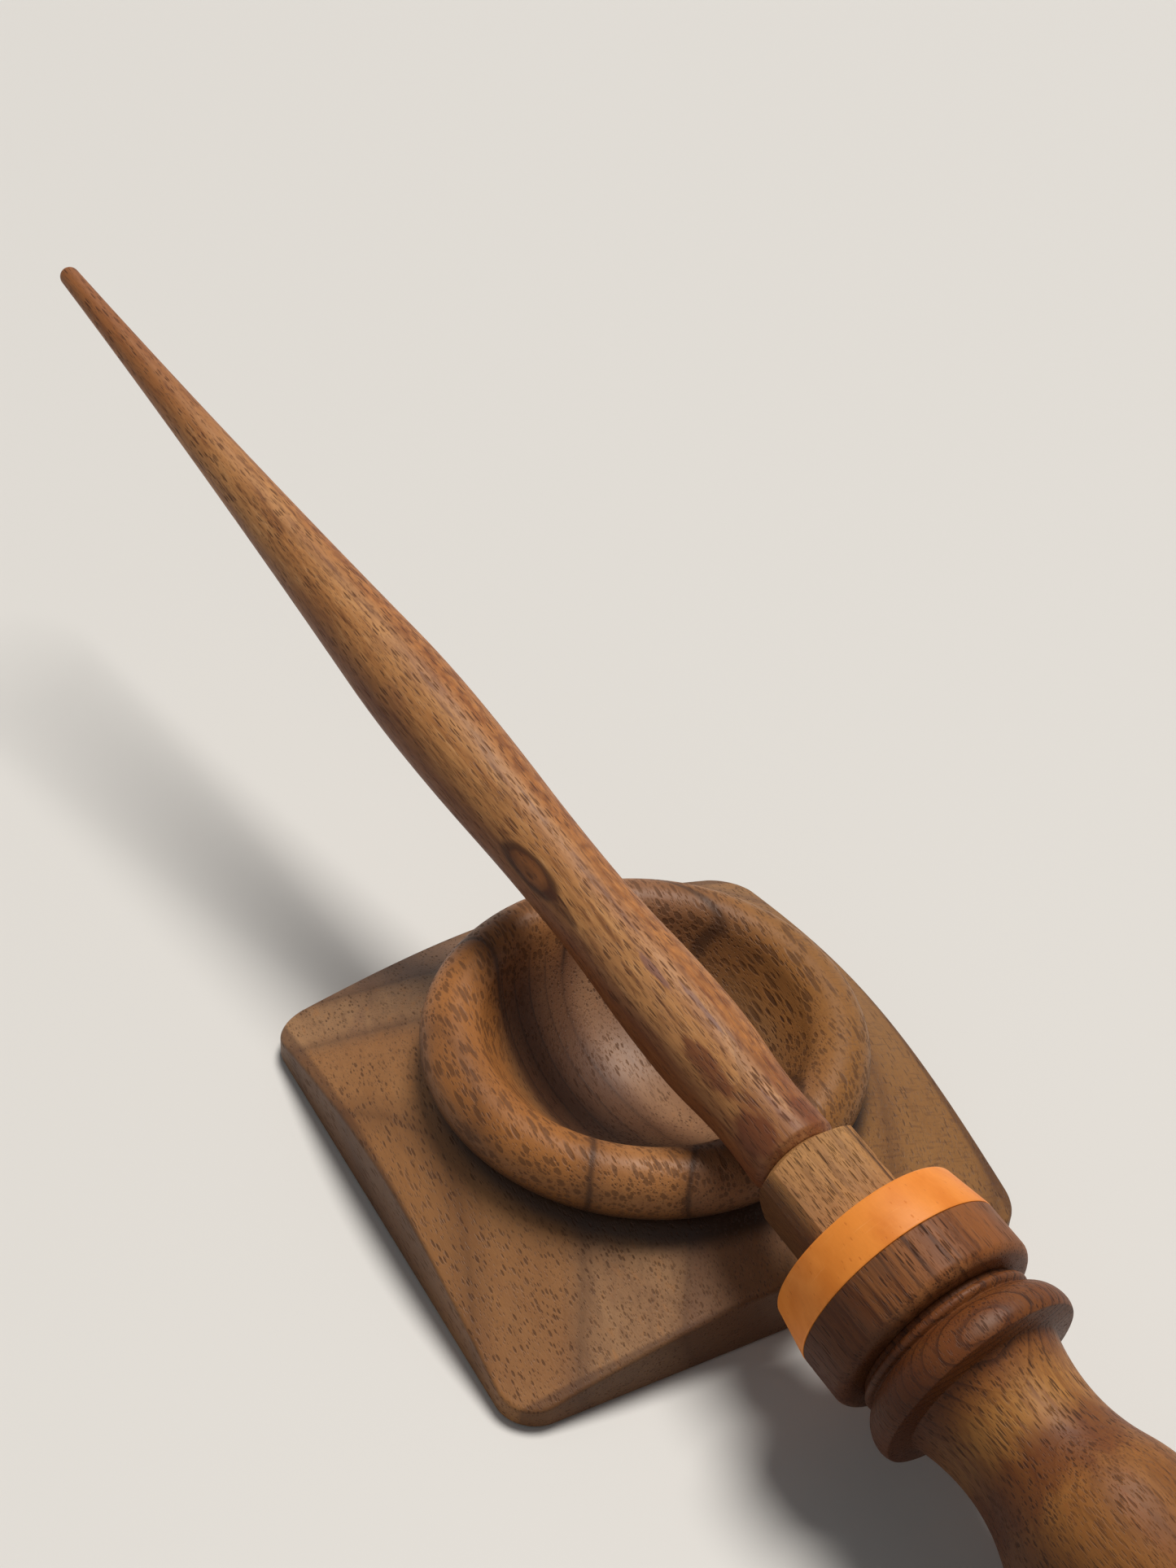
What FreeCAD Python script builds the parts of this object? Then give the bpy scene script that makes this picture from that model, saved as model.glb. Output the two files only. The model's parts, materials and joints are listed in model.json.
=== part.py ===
import FreeCAD, Part
import math
import os
import re
import Sketcher

# A turned wooden wand that leans on its own square stand, in millimetres.
# The origin is the middle of the stand's underside, +Z is up, the stand's sides
# lie along X and Y, and the wand runs roughly along +Y with its tip in the air.

# Driving dimensions. Radii and stations of the wand are measured on its own axis:
# the shaft's stations run up from its shoulder, the handle's run down from its top face.
SIZES = {
    # stand: square plate, turned ring and dish
    "plateSide": 80.0,
    "plateCorner": 5.6,
    "cornerHeight": 3.2,
    "plateHollow": 240.0,
    "topRound": 0.8,
    "footChamfer": 0.4,
    "ringRadius": 26.7,
    "ringHeight": 23.75,
    "ringBead": 4.75,
    "undercutAngle": 60.0,
    "dishFloor": 8.5,
    # how the wand leans on the ring
    "wandYaw": 7.6,
    "wandAside": 2.9,
    "restGap": 0.15,
    # glued joint: the shaft's tenon runs through the rings into the handle
    "tenonRadius": 4.5,
    "glueGap": 0.05,
    "tenonEndGap": 1.0,
    "socketDepth": 26.0,
    # shaft
    "veeStep": 0.9,
    "veeHeight": 1.2,
    "lipStep": 0.2,
    "throatRadius": 6.0,
    "throatStation": 7.4,
    "lowerSwellRadius": 6.9,
    "lowerSwellStation": 22.9,
    "waistRadius": 6.0,
    "waistStation": 49.4,
    "upperSwellRadius": 6.8,
    "upperSwellStation": 86.4,
    "breakRadius": 6.33,
    "breakStation": 100.9,
    "taperHollow": 2850.0,
    "tipRadius": 1.6,
    "tipStation": 198.4,
    "tipRound": 1.5,
    # faceted collar
    "collarLength": 13.6,
    "collarSide": 14.0,
    "collarChamfer": 1.9,
    "collarRoll": -17.5,
    "collarShoulder": 2.4,
    # bright band
    "bandWidth": 7.0,
    "bandRadius": 15.0,
    "bandTipRadius": 13.8,
    "bandEdge": 0.3,
    # dark drum
    "drumLength": 7.8,
    "drumRadius": 15.0,
    "drumFootRadius": 13.3,
    "drumFootLength": 1.7,
    # handle
    "quirkRadius": 11.6,
    "quirkWidth": 1.0,
    "filletRadius": 12.3,
    "filletWidth": 1.2,
    "filletBulge": 0.8,
    "stepRadius": 12.0,
    "stepWidth": 0.3,
    "beadRadius": 14.8,
    "beadStation": 6.9,
    "beadEdgeRadius": 14.4,
    "beadEdgeStation": 8.3,
    "coveRadius": 11.2,
    "coveWidth": 0.5,
    "neckRadius": 9.8,
    "neckStation": 17.2,
    "swellRadius": 13.1,
    "swellStation": 34.2,
    "gripRadius": 8.9,
    "gripStation": 61.2,
    "pommelRadius": 9.9,
    "pommelStation": 76.2,
}

TURNING_WASTE = 2.0

# Lengths that follow from the driving dimensions.
LAYOUT = {
    "ringCentre": "ringHeight - ringBead",
    # The dish is the arc that runs smoothly into the ring.
    "dishDepth": "ringHeight - ringBead - dishFloor",
    "dishBend": "(ringRadius ^ 2 + dishDepth ^ 2 - ringBead ^ 2) / (2 * (ringBead + dishDepth))",
    "dishShare": "dishBend / (dishBend + ringBead)",
    "rimRadius": "ringRadius * dishShare",
    "rimHeight": "dishFloor + dishBend - (dishBend - dishDepth) * dishShare",
    "grooveRadius": "ringRadius + ringBead * cos(undercutAngle)",
    "grooveHeight": "ringHeight - ringBead - ringBead * sin(undercutAngle)",
    "cornerReach": "(plateSide / 2 - plateCorner) * sqrt(2) + plateCorner",
    "boreRadius": "tenonRadius + glueGap",
    "veeRadius": "tenonRadius + veeStep",
    "shoulderStation": "bandWidth + collarLength",
    "tenonLength": "bandWidth + collarLength + drumLength + socketDepth - tenonEndGap",
    # The throat rests on the ring and the pommel on the table.
    "restArm": "throatRadius + ringBead + restGap",
    "restSpan": "bandWidth + collarLength + throatStation + drumLength + pommelStation",
    "restRise": "ringHeight - ringBead - pommelRadius - restGap",
}

POSE_RULES = {
    "tilt": "atan(restArm / restSpan) + asin(restRise / sqrt(restArm ^ 2 + restSpan ^ 2))",
}

PLACE_RULES = {
    "jointAlong": "-sqrt(ringRadius ^ 2 - wandAside ^ 2) - restArm * sin(tilt)"
                  " - (shoulderStation + throatStation) * cos(tilt)",
    "jointUp": "ringCentre + restArm * cos(tilt) - (shoulderStation + throatStation) * sin(tilt)",
}

LEFT = 1
RIGHT = -1
STRAIGHT = 0


def bind(rule):
    """A rule written with bare names, as an expression on the sheet and the layout."""
    def owner(match):
        name = match.group(0)
        if name in SIZES:
            return "Sizes." + name
        if name in LAYOUT or name in POSE_RULES or name in PLACE_RULES:
            return "Layout." + name
        return name
    return re.sub(r"[A-Za-z]\w*", owner, rule)


def make_sheet(doc):
    sheet = doc.addObject("Spreadsheet::Sheet", "Sizes")
    for row, (name, size) in enumerate(SIZES.items(), start=1):
        sheet.set("A%d" % row, name)
        sheet.set("B%d" % row, str(size))
        sheet.setAlias("B%d" % row, name)
    doc.recompute()
    return sheet


def make_layout(doc):
    layout = doc.addObject("App::VarSet", "Layout")
    groups = ((LAYOUT, "App::PropertyFloat"), (POSE_RULES, "App::PropertyAngle"),
              (PLACE_RULES, "App::PropertyFloat"))
    for rules, kind in groups:
        for name, rule in rules.items():
            layout.addProperty(kind, name, "Layout")
            layout.setExpression(name, bind(rule).replace("Layout.", ""))
        doc.recompute()
    return layout


def number(body, rule):
    """The number that a rule gives with the present sizes."""
    found = body.evalExpression(bind(rule))
    return float(getattr(found, "Value", found))


def origin_plane(body, role):
    return next(item for item in body.Origin.OriginFeatures if item.Role == role)


def sweep(first, second):
    """Radius of the arc through two outline points whose tangent is axial at one of them."""
    (r1, z1), (r2, z2) = first, second
    return "((%s - (%s)) ^ 2 + (%s - (%s)) ^ 2) / (2 * abs(%s - (%s)))" % (z1, z2, r1, r2, r1, r2)


def ogee(body, first, second):
    """Two equal tangent arcs from one swell or hollow to the next, travelling up the axis."""
    (r1, z1), (r2, z2) = first, second
    middle = ("(%s + %s) / 2" % (r1, r2), "(%s + (%s)) / 2" % (z1, z2))
    radius = sweep(first, middle)
    turn = LEFT if number(body, r2) < number(body, r1) else RIGHT
    return [(r1, z1, turn, radius), (middle[0], middle[1], -turn, radius)]


def arc_between(start, end, radius, turn):
    """Circular arc from start to end that turns left or right."""
    chord = end - start
    reach = math.sqrt(max(radius ** 2 - (chord.Length / 2) ** 2, 0.0))
    side = FreeCAD.Vector(-chord.y, chord.x, 0).normalize() * (reach * turn)
    centre = start + chord * 0.5 + side
    circle = Part.Circle(centre, FreeCAD.Vector(0, 0, 1), radius)
    first, last = (start, end) if turn == LEFT else (end, start)
    return Part.ArcOfCircle(circle, circle.parameter(first), circle.parameter(last))


def draw_outline(body, name, outline, role="XZ_Plane"):
    """Closed sketch of lines and arcs. Each item is (across, along, turn, radius to the next)."""
    sketch = body.newObject("Sketcher::SketchObject", name)
    sketch.AttachmentSupport = [(origin_plane(body, role), "")]
    sketch.MapMode = "FlatFace"
    places = [FreeCAD.Vector(number(body, x), number(body, y), 0) for x, y, _, _ in outline]
    count = len(outline)
    for index, (_, _, turn, radius) in enumerate(outline):
        start, end = places[index], places[(index + 1) % count]
        if turn == STRAIGHT:
            sketch.addGeometry(Part.LineSegment(start, end), False)
        else:
            sketch.addGeometry(arc_between(start, end, number(body, radius), turn), False)
    for index, (across, along, turn, radius) in enumerate(outline):
        following = (index + 1) % count
        start_end = 2 if turn == RIGHT else 1
        next_start = 2 if outline[following][2] == RIGHT else 1
        sketch.addConstraint(Sketcher.Constraint(
            "Coincident", index, 3 - start_end, following, next_start))
        hold(sketch, index, start_end, "DistanceX", -2, across, places[index].x)
        hold(sketch, index, start_end, "DistanceY", -1, along, places[index].y)
        if turn != STRAIGHT:
            rule_number = sketch.addConstraint(Sketcher.Constraint(
                "Radius", index, number(body, radius)))
            sketch.setExpression("Constraints[%d]" % rule_number, bind(radius))
    return sketch


def hold(sketch, index, end, kind, axis, rule, place):
    """Fix one coordinate of a sketch point: on the axis, or at a bound distance from it."""
    if rule == "0":
        sketch.addConstraint(Sketcher.Constraint("PointOnObject", index, end, axis))
        return
    rule_number = sketch.addConstraint(Sketcher.Constraint(kind, -1, 1, index, end, place))
    sketch.setExpression("Constraints[%d]" % rule_number, bind(rule))


def turn_solid(body, name, outline):
    """Revolution of an outline about the piece's own axis."""
    sketch = draw_outline(body, name + "Outline", outline)
    turned = body.newObject("PartDesign::Revolution", name)
    turned.Profile = sketch
    turned.ReferenceAxis = (sketch, ["V_Axis"])
    turned.Angle = 360
    return turned


def cut_turned(doc, body, name, outline):
    """Groove of an outline about the piece's own axis, checked to remove wood."""
    doc.recompute()
    before = body.Shape.Volume
    sketch = draw_outline(body, name + "Outline", outline)
    groove = body.newObject("PartDesign::Groove", name)
    groove.Profile = sketch
    groove.ReferenceAxis = (sketch, ["V_Axis"])
    groove.Angle = 360
    doc.recompute()
    if not body.Shape.Volume < before:
        raise RuntimeError(name + " removes nothing")
    return groove


def pad_outline(body, name, outline, length):
    """Straight pad of an outline that lies across the piece's axis."""
    sketch = draw_outline(body, name + "Outline", outline, "XY_Plane")
    pad = body.newObject("PartDesign::Pad", name)
    pad.Profile = sketch
    pad.setExpression("Length", bind(length))
    return pad


def square_outline(half, corner, turn, radius):
    """Square across the axis whose corners are cut straight or rounded."""
    near = "%s - %s" % (half, corner)
    corners = [("%s", "-(%s)"), ("%s", "%s"), ("-(%s)", "%s"), ("-(%s)", "-(%s)")]
    outline = []
    for index, (x, y) in enumerate(corners):
        along_x = (x % half, y % near)
        along_y = (x % near, y % half)
        first, second = (along_y, along_x) if index % 2 == 0 else (along_x, along_y)
        outline.append((first[0], first[1], turn, radius))
        outline.append((second[0], second[1], STRAIGHT, None))
    return outline


def new_body(doc, label, station=None, roll=None):
    """Body of one sub-part. A piece of the wand is placed at its station on the wand's axis."""
    body = doc.addObject("PartDesign::Body", label)
    body.Label = label
    if station is not None:
        joint = ("placement(vector(-jointAlong * sin(wandYaw) - wandAside * cos(wandYaw);"
                 " jointAlong * cos(wandYaw) - wandAside * sin(wandYaw); jointUp);"
                 " rotationz(wandYaw) * rotationx(tilt - 90deg))")
        seat = " * placement(vector(0; 0; %s); rotationz(%s))" % (station, roll or "0")
        body.setExpression("Placement", bind(joint + seat))
    return body


def make_stand(doc):
    """Square block, turned on its face into a hollow-topped plate, a round ring and a dish."""
    body = new_body(doc, "stand")
    square = square_outline("plateSide / 2", "plateCorner", LEFT, "plateCorner")
    pad_outline(body, "Block", square, "ringHeight + %s" % TURNING_WASTE)
    outside = "cornerReach + %s" % TURNING_WASTE
    above = "ringHeight + 2 * %s" % TURNING_WASTE
    cut_turned(doc, body, "TurnedTop", [
        ("0", "dishFloor", LEFT, "dishBend"),
        ("rimRadius", "rimHeight", RIGHT, "ringBead"),
        ("ringRadius", "ringHeight", RIGHT, "ringBead"),
        ("grooveRadius", "grooveHeight", LEFT, "plateHollow"),
        ("cornerReach", "cornerHeight", STRAIGHT, None),
        (outside, "cornerHeight", STRAIGHT, None),
        (outside, above, STRAIGHT, None),
        ("0", above, STRAIGHT, None),
    ])
    soften_plate(doc, body)
    return body


def rim_edges(body, low, high):
    """Edges round the plate's outline that lie between two heights, without the upright ones."""
    inside = number(body, "plateSide / 2 - plateCorner / 2")
    names = []
    for index, edge in enumerate(body.Shape.Edges, start=1):
        middle, box = edge.CenterOfMass, edge.BoundBox
        outside = max(abs(middle.x), abs(middle.y)) > inside
        upright = box.ZLength > max(box.XLength, box.YLength)
        if outside and not upright and low < middle.z < high:
            names.append("Edge%d" % index)
    return names


def soften_plate(doc, body):
    """Round the plate's upper edge, then chamfer its foot."""
    steps = (
        ("PartDesign::Fillet", "TopRound", "Radius", "topRound", "footChamfer", "ringHeight"),
        ("PartDesign::Chamfer", "FootChamfer", "Size", "footChamfer", "-footChamfer", "footChamfer"),
    )
    for kind, name, size, rule, low, high in steps:
        doc.recompute()
        before = body.Tip
        edges = rim_edges(body, number(body, low), number(body, high))
        tool = body.newObject(kind, name)
        tool.Base = (before, edges)
        tool.setExpression(size, bind(rule))
    doc.recompute()


def make_shaft(doc):
    """Slim turned stick with its tenon: throat, two swells, a waist and a tapered tip."""
    body = new_body(doc, "shaft", "shoulderStation")
    lip = ("throatRadius + lipStep", "veeHeight")
    throat = ("throatRadius", "throatStation")
    lower = ("lowerSwellRadius", "lowerSwellStation")
    waist = ("waistRadius", "waistStation")
    upper = ("upperSwellRadius", "upperSwellStation")
    taper = ("breakRadius", "breakStation")
    tip = ("tipRadius", "tipStation")
    point = ("0", "tipStation + tipRound")
    outline = [
        ("0", "-tenonLength", STRAIGHT, None),
        ("tenonRadius", "-tenonLength", STRAIGHT, None),
        ("tenonRadius", "0", STRAIGHT, None),
        ("veeRadius", "0", STRAIGHT, None),
    ]
    for first, second in ((lip, throat), (throat, lower), (lower, waist), (waist, upper)):
        outline += ogee(body, first, second)
    outline.append((upper[0], upper[1], LEFT, sweep(upper, taper)))
    outline.append((taper[0], taper[1], RIGHT, "taperHollow"))
    outline.append((tip[0], tip[1], LEFT, "(tipRadius ^ 2 + tipRound ^ 2) / (2 * tipRound)"))
    outline.append((point[0], point[1], STRAIGHT, None))
    turn_solid(body, "Stick", outline)
    return body


def make_faceted_collar(doc):
    """Square collar with cut corners, its tip end turned to a shoulder, bored for the tenon."""
    body = new_body(doc, "faceted_collar", "bandWidth", "collarRoll")
    facets = square_outline("collarSide / 2", "collarChamfer", STRAIGHT, None)
    pad_outline(body, "Facets", facets, "collarLength")
    waste = "collarSide"
    cut_turned(doc, body, "Shoulder", [
        ("veeRadius", "collarLength", STRAIGHT, None),
        (waste, "collarLength - collarShoulder * (%s - veeRadius) / (collarSide / sqrt(2) - veeRadius)"
         % waste, STRAIGHT, None),
        (waste, "collarLength + %s" % TURNING_WASTE, STRAIGHT, None),
        ("veeRadius", "collarLength + %s" % TURNING_WASTE, STRAIGHT, None),
    ])
    bore(doc, body, "collarLength")
    return body


def bore(doc, body, length):
    """Straight hole along a ring's axis for the tenon."""
    far = "%s + %s" % (length, TURNING_WASTE)
    near = "-%s" % TURNING_WASTE
    cut_turned(doc, body, "Bore", [
        ("0", near, STRAIGHT, None),
        ("boreRadius", near, STRAIGHT, None),
        ("boreRadius", far, STRAIGHT, None),
        ("0", far, STRAIGHT, None),
    ])


def make_orange_band(doc):
    """Bright ring that narrows towards the tip, with its outer edges broken."""
    body = new_body(doc, "orange_band", "0")
    turn_solid(body, "Ring", [
        ("boreRadius", "0", STRAIGHT, None),
        ("bandRadius - bandEdge", "0", LEFT, "bandEdge"),
        ("bandRadius", "bandEdge", STRAIGHT, None),
        ("bandTipRadius", "bandWidth - bandEdge", LEFT, "bandEdge"),
        ("bandTipRadius - bandEdge", "bandWidth", STRAIGHT, None),
        ("boreRadius", "bandWidth", STRAIGHT, None),
    ])
    return body


def make_drum_collar(doc):
    """Dark ring under the band whose foot is rounded in towards the handle."""
    body = new_body(doc, "drum_collar", "-drumLength")
    foot = ("drumFootRadius", "0")
    wall = ("drumRadius", "drumFootLength")
    turn_solid(body, "Ring", [
        ("boreRadius", "0", STRAIGHT, None),
        (foot[0], foot[1], LEFT, sweep(foot, wall)),
        (wall[0], wall[1], STRAIGHT, None),
        ("drumRadius", "drumLength", STRAIGHT, None),
        ("boreRadius", "drumLength", STRAIGHT, None),
    ])
    return body


def make_handle(doc):
    """Handle: rounded pommel, grip, swell, neck, big bead, thin fillet and quirk, with a socket."""
    body = new_body(doc, "handle", "-drumLength")
    pommel = ("pommelRadius", "-pommelStation")
    grip = ("gripRadius", "-gripStation")
    swell = ("swellRadius", "-swellStation")
    neck = ("neckRadius", "-neckStation")
    cove = ("coveRadius", "-beadEdgeStation - coveWidth")
    edge = ("beadEdgeRadius", "-beadEdgeStation")
    crest = ("beadRadius", "-beadStation")
    step = ("stepRadius", "-quirkWidth - filletWidth - stepWidth")
    outline = [("0", "-pommelStation - pommelRadius", LEFT, "pommelRadius")]
    for first, second in ((pommel, grip), (grip, swell), (swell, neck)):
        outline += ogee(body, first, second)
    outline += [
        (neck[0], neck[1], RIGHT, sweep(neck, cove)),
        (cove[0], cove[1], STRAIGHT, None),
        (edge[0], edge[1], LEFT, sweep(edge, crest)),
        (crest[0], crest[1], LEFT, sweep(crest, step)),
        (step[0], step[1], STRAIGHT, None),
        ("filletRadius", "-quirkWidth - filletWidth", LEFT, "filletBulge"),
        ("filletRadius", "-quirkWidth", STRAIGHT, None),
        ("quirkRadius", "-quirkWidth", STRAIGHT, None),
        ("quirkRadius", "0", STRAIGHT, None),
        ("boreRadius", "0", STRAIGHT, None),
        ("boreRadius", "-socketDepth", STRAIGHT, None),
        ("0", "-socketDepth", STRAIGHT, None),
    ]
    turn_solid(body, "Grip", outline)
    return body


def check_document(doc, bodies):
    """Stop if any object failed or any sub-part has no valid solid."""
    for item in doc.Objects:
        if "Invalid" in item.State or "Error" in item.State:
            raise RuntimeError("%s failed: %s" % (item.Name, item.State))
    for body in bodies:
        shape = body.Shape
        if shape.isNull() or not shape.isValid() or not shape.Solids:
            raise RuntimeError(body.Label + " has no valid solid")


def main():
    doc = FreeCAD.newDocument("wand")
    make_sheet(doc)
    make_layout(doc)
    makers = (make_stand, make_shaft, make_faceted_collar, make_orange_band, make_drum_collar,
              make_handle)
    bodies = [maker(doc) for maker in makers]
    doc.recompute()
    check_document(doc, bodies)
    os.makedirs("parts", exist_ok=True)
    for body in bodies:
        body.Shape.exportStep("parts/%s.step" % body.Label)
        print("%-16s %9.1f mm3" % (body.Label, body.Shape.Volume))
    print("wand leans %.2f degrees" % doc.Layout.tilt.Value)


main()
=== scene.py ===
import json
import math
import bpy
from mathutils import Euler, Matrix, Vector


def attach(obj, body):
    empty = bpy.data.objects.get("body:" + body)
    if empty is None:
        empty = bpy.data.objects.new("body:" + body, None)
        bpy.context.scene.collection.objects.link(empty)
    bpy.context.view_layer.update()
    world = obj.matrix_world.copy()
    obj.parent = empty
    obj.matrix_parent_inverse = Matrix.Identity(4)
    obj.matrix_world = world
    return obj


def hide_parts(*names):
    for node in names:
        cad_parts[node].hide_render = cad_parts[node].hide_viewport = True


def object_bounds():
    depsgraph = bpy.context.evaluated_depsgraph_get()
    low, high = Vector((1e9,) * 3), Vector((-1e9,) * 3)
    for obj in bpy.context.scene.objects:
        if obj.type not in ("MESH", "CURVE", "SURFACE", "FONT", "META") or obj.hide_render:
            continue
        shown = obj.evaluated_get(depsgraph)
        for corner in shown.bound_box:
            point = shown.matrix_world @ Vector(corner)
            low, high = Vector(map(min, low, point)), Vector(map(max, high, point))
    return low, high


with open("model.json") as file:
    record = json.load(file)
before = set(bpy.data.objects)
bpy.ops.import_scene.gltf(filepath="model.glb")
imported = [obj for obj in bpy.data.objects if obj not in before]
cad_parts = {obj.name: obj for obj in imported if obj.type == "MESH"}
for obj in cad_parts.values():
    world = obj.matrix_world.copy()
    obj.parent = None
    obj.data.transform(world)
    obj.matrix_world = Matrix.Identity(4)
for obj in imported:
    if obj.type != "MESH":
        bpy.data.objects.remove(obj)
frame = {"record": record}
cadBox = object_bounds()

mm = 0.001
mergeReach = 0.004 * mm     # points nearer than this become one
cutReach = 0.0005 * mm      # points nearer than this to a cut lie on it

# the wand's own axis comes from its grip mount; stations are counted from the joint of band and drum
gripMount = next(m for m in frame["record"]["mounts"] if m["name"] == "handle_grip")
gripStation = -43.0
wandAxis = Vector(gripMount["axis"]).normalized()
wandYaw = math.atan2(-wandAxis.x, wandAxis.y)
wandTilt = math.asin(wandAxis.z)
wandTurn = Euler((wandTilt - math.pi / 2, 0, wandYaw))
wandStart = Vector(gripMount["pos_m"]) - wandAxis * gripStation * mm
wandPlace = Matrix.Translation(wandStart) @ wandTurn.to_matrix().to_4x4()
standPlace = Matrix.Identity(4)


def bulgeTo(outline, radius, station, flatAt, steps):
    # arc to a new point that runs along the axis at its start or at its end
    fromRadius, fromStation = outline[-1]
    out, along = radius - fromRadius, station - fromStation
    bend = (out * out + along * along) / (2 * abs(out))
    turn = math.asin(min(1, abs(along) / bend))
    for step in range(1, steps + 1):
        share = step / steps if flatAt == "start" else 1 - step / steps
        side = math.copysign(bend * (1 - math.cos(turn * share)), out)
        rise = math.copysign(bend * math.sin(turn * share), along)
        if flatAt == "start":
            outline.append((fromRadius + side, fromStation + rise))
        else:
            outline.append((radius - side, station - rise))


def ogeeTo(outline, radius, station, steps):
    # two equal arcs from one swell or hollow to the next
    fromRadius, fromStation = outline[-1]
    bulgeTo(outline, (radius + fromRadius) / 2, (station + fromStation) / 2, "start", steps)
    bulgeTo(outline, radius, station, "end", steps)


def hollowTo(outline, radius, station, bend, steps):
    # slightly hollow taper: an arc of a given large radius
    fromRadius, fromStation = outline[-1]
    out, along = radius - fromRadius, station - fromStation
    for step in range(1, steps + 1):
        share = step / steps
        sag = share * (1 - share) * (out * out + along * along) / (2 * bend)
        outline.append((fromRadius + out * share - sag, fromStation + along * share))


def capTo(outline, station, steps):
    # rounded end that closes on the axis
    fromRadius, fromStation = outline[-1]
    rise = station - fromStation
    bend = (fromRadius ** 2 + rise ** 2) / (2 * abs(rise))
    turn = math.asin(min(1, fromRadius / bend))
    for step in range(1, steps + 1):
        angle = turn * (1 - step / steps)
        sink = math.copysign(bend * (1 - math.cos(angle)), rise)
        outline.append((bend * math.sin(angle), station - sink))


easing = {"leastTurn": 18, "boreReach": 5, "sideShare": 0.4, "steps": 4}    # turn in degrees


def softened(outline, soft):
    # breaks every sharp corner outside the bores over a short distance on each side
    eased = [outline[0]]
    for before, corner, after in zip(outline, outline[1:], outline[2:]):
        back = Vector(before) - Vector(corner)
        ahead = Vector(after) - Vector(corner)
        if math.degrees((-back).angle(ahead)) < easing["leastTurn"] or corner[0] < easing["boreReach"]:
            eased.append(corner)
            continue
        start = Vector(corner) + back.normalized() * min(soft, back.length * easing["sideShare"])
        end = Vector(corner) + ahead.normalized() * min(soft, ahead.length * easing["sideShare"])
        for step in range(easing["steps"] + 1):
            share = step / easing["steps"]
            nearStart = start.lerp(Vector(corner), share)
            eased.append(tuple(nearStart.lerp(Vector(corner).lerp(end, share), share)))
    return eased + [outline[-1]]


def turnPiece(name, outline, place, sides):
    # draws the outline point by point, spins it round the axis and closes the seam
    bpy.ops.object.select_all(action="DESELECT")
    spots = [place @ Vector((radius * mm, 0, station * mm)) for radius, station in outline]
    bpy.ops.mesh.primitive_plane_add(size=mm, location=spots[0])
    piece = bpy.context.object
    piece.name = name
    bpy.ops.object.transform_apply(location=True, rotation=True, scale=True)
    bpy.ops.object.mode_set(mode="EDIT")
    bpy.ops.mesh.select_mode(type="VERT")
    bpy.ops.mesh.merge(type="CENTER")
    for spot, nextSpot in zip(spots, spots[1:]):
        bpy.ops.mesh.extrude_region_move(TRANSFORM_OT_translate={"value": nextSpot - spot})
    bpy.ops.mesh.select_all(action="SELECT")
    axis = place.to_3x3() @ Vector((0, 0, 1))
    bpy.ops.mesh.spin(steps=sides, angle=math.tau, center=place.translation, axis=axis)
    closeMesh()
    bpy.ops.object.mode_set(mode="OBJECT")
    return piece


def closeMesh():
    bpy.ops.mesh.select_all(action="SELECT")
    bpy.ops.mesh.remove_doubles(threshold=mergeReach)
    bpy.ops.mesh.normals_make_consistent(inside=False)


def finishPiece(piece, body, node, material, sharpAngle):
    bpy.ops.object.select_all(action="DESELECT")
    piece.select_set(True)
    bpy.context.view_layer.objects.active = piece
    bpy.ops.object.shade_smooth_by_angle(angle=math.radians(sharpAngle))
    piece.data.materials.clear()
    piece.data.materials.append(material)
    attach(piece, body)
    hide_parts(node)
    print(piece.name, "has", len(piece.data.polygons), "faces")


def tone(red, green, blue):
    # a colour as seen on screen, in the linear values that the nodes take
    def linear(part):
        part = part / 255
        return part / 12.92 if part < 0.04045 else ((part + 0.055) / 1.055) ** 2.4
    return (linear(red), linear(green), linear(blue), 1)


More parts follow.
